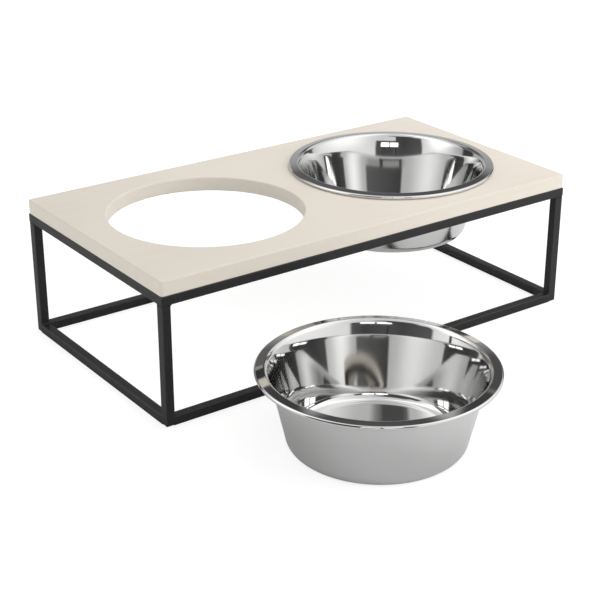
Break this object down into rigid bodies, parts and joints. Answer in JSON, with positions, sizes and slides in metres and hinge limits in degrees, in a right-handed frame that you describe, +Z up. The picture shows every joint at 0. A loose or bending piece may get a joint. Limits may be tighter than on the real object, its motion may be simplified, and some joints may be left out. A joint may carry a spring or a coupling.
{
  "type": "elevated dog feeder",
  "caption": "Raised feeding stand: a lacquered board with round holes on a low welded square-tube frame, with rolled-rim steel bowls that drop in and lift out.",
  "frame": {"origin": "on the floor, under the middle of the whole set as it stands: the stand with one bowl in its right hole and the other bowl on the floor in front of it", "axes": "+Z up; X along the board's long side with the hung bowl at +X; -Y is the front, where the dog stands and the second bowl is"},
  "size_m": [0.53, 0.538, 0.1609],
  "materials": {
    "board": "satin cream lacquer",
    "frame": "satin black powder coat",
    "bowl": "polished inside and on the rim, fine satin outside",
    "screw": "zinc plated"
  },
  "bodies": {
    "stand": {"board": "board", "top_rail_front": "frame", "top_rail_rear": "frame", "top_rail_left": "frame", "top_rail_right": "frame", "leg_front_left": "frame", "leg_front_right": "frame", "leg_rear_left": "frame", "leg_rear_right": "frame", "leg_caps": "frame", "bottom_rail_front": "frame", "bottom_rail_rear": "frame", "bottom_rail_left": "frame", "bottom_rail_right": "frame", "upper_welds": "frame", "lower_welds": "frame", "corner_tabs": "frame", "tab_screws": "screw"},
    "hanging_bowl": {"set_bowl": "bowl"},
    "floor_bowl": {"loose_bowl": "bowl"}
  },
  "joints": [
    {"name": "set_bowl_lift", "type": "slide", "parent": "stand", "child": "hanging_bowl", "axis": [0, 0, 1], "range_m": [0, 0.12]},
    {"name": "loose_bowl_lift", "type": "slide", "parent": "stand", "child": "floor_bowl", "axis": [0, 0, 1], "range_m": [0, 0.12]}
  ]
}
